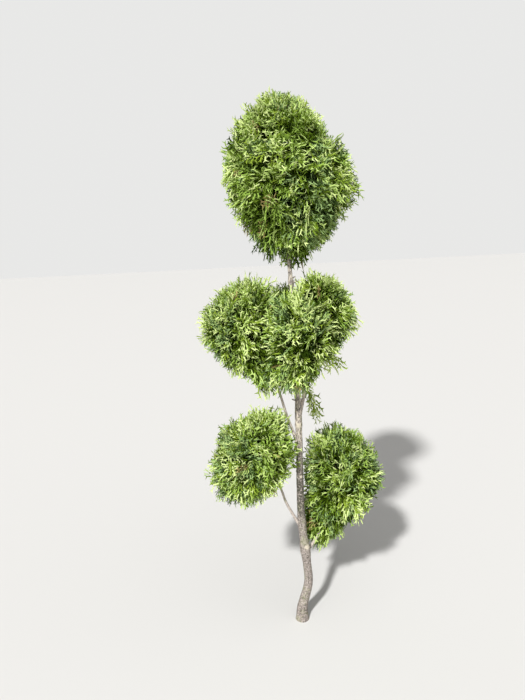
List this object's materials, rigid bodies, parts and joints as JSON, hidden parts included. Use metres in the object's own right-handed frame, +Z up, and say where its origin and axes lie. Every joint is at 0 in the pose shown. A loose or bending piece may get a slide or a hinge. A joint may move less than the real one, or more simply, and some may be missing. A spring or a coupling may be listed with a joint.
{
  "type": "clipped thuja tree",
  "caption": "Young thuja on one slim bare stem, clipped into soft balls of foliage on three levels, rooted in the ground.",
  "frame": {"origin": "middle of the flat cut under the trunk, at ground level", "axes": "+Z up the trunk; +X to the viewer's right and +Y away from the viewer, who looks at the pictured side"},
  "size_m": [0.5195, 0.3772, 1.4952],
  "materials": {
    "bark": "fibrous grey-brown bark with pale lichen",
    "foliage": "flat sprays of scale leaves, fresh yellow-green at the tips"
  },
  "bodies": {
    "root": {"trunk": "bark", "bough_lower_left": "bark", "bough_lower_right": "bark", "bough_middle_left": "bark", "bough_middle_right": "bark", "bough_middle_front": "bark", "bough_middle_back": "bark", "foliage_top_front_left": "foliage", "foliage_top_front_right": "foliage", "foliage_top_back_right": "foliage", "foliage_top_back_left": "foliage", "foliage_top_cap": "foliage", "foliage_middle_left": "foliage", "foliage_middle_right": "foliage", "foliage_middle_front": "foliage", "foliage_middle_back": "foliage", "foliage_lower_left": "foliage", "foliage_lower_right": "foliage"}
  },
  "joints": []
}
